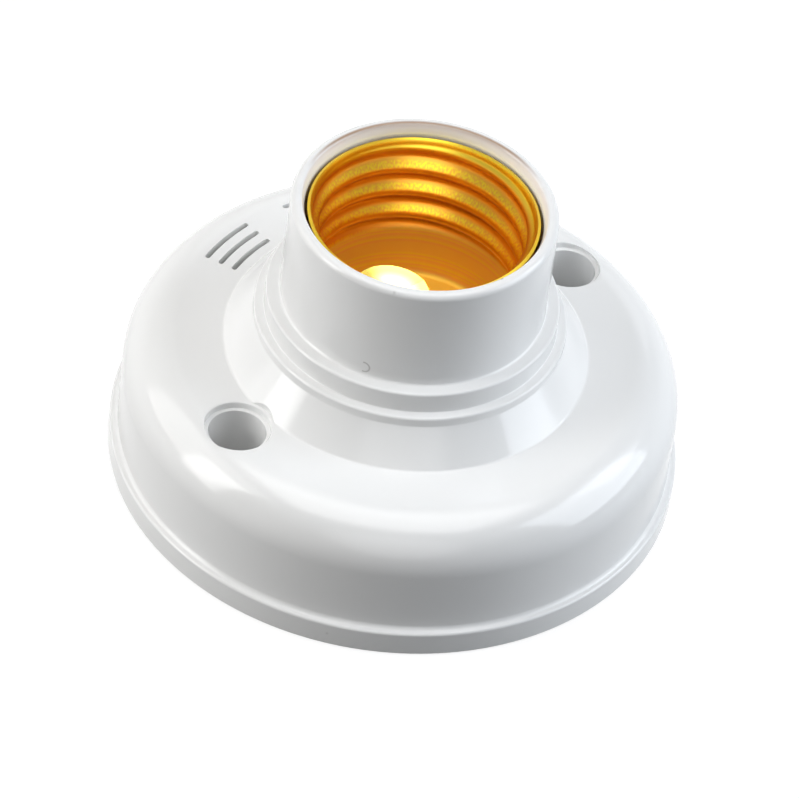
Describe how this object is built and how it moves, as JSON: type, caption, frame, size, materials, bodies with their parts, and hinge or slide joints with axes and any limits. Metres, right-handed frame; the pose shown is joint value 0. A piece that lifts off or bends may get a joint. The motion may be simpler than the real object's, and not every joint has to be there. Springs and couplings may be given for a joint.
{
  "type": "motion sensor lamp holder",
  "caption": "Round surface-mounted screw lamp holder with a collar on a domed housing, screw wells, vents and an enclosed motion sensor board.",
  "frame": {"origin": "centre of the housing's flat back, in the plane of the mounting surface", "axes": "+Z out of the socket, away from the mounting surface; +X through the two fixing-screw wells; +Y towards the vents"},
  "size_m": [0.0702, 0.0702, 0.0406],
  "materials": {
    "white_plastic": "glossy white",
    "cover_plastic": "matt off-white",
    "gold_brass": "bright yellow plating",
    "contact_brass": "bright",
    "block_plastic": "dark brown thermoset",
    "plated_steel": "zinc plated",
    "board_green": "glass-fibre board with green lacquer",
    "radar_green": "glass-fibre board with blue-green lacquer",
    "terminal_plastic": "green",
    "capacitor_red": "red-brown resin",
    "can_sleeve": "shrink sleeve over an aluminium can",
    "ceramic_blue": "blue lacquer over ceramic",
    "resistor_body": "lacquer",
    "black_epoxy": "moulded epoxy",
    "clear_epoxy": "clear epoxy",
    "lead_insulation": "red insulation"
  },
  "bodies": {
    "holder": {"housing": "white_plastic", "thread_shell": "gold_brass", "contact_block": "block_plastic", "shell_rivet_right": "contact_brass", "shell_rivet_left": "contact_brass", "shell_tag": "contact_brass", "rivet_washer": "plated_steel", "sensor_board": "board_green", "board_screw_1": "plated_steel", "board_screw_2": "plated_steel", "back_cover": "cover_plastic", "cover_screw_1": "plated_steel", "cover_screw_2": "plated_steel", "cover_screw_3": "plated_steel", "terminal_block": "terminal_plastic", "terminal_clamp_live": "contact_brass", "terminal_clamp_neutral": "contact_brass", "terminal_screw_live": "plated_steel", "terminal_screw_neutral": "plated_steel", "film_capacitor": "capacitor_red", "smoothing_capacitor": "can_sleeve", "fuse_resistor": "resistor_body", "surge_absorber": "ceramic_blue", "triac": "black_epoxy", "rectifier_diode_1": "black_epoxy", "rectifier_diode_2": "black_epoxy", "rectifier_diode_3": "black_epoxy", "rectifier_diode_4": "black_epoxy", "sensor_chip": "black_epoxy", "light_sensor": "clear_epoxy", "radar_board": "radar_green", "radar_shield": "plated_steel", "centre_lead": "lead_insulation"},
    "contact": {"centre_contact": "contact_brass"}
  },
  "joints": [
    {"name": "contact_press", "type": "hinge", "parent": "holder", "child": "contact", "pos_m": [0, -0.0046, 0.0189], "axis": [-1, 0, 0], "range_deg": [0, 12], "stiffness_Nm_per_rad": 0.12, "springref_deg": -1.72}
  ]
}
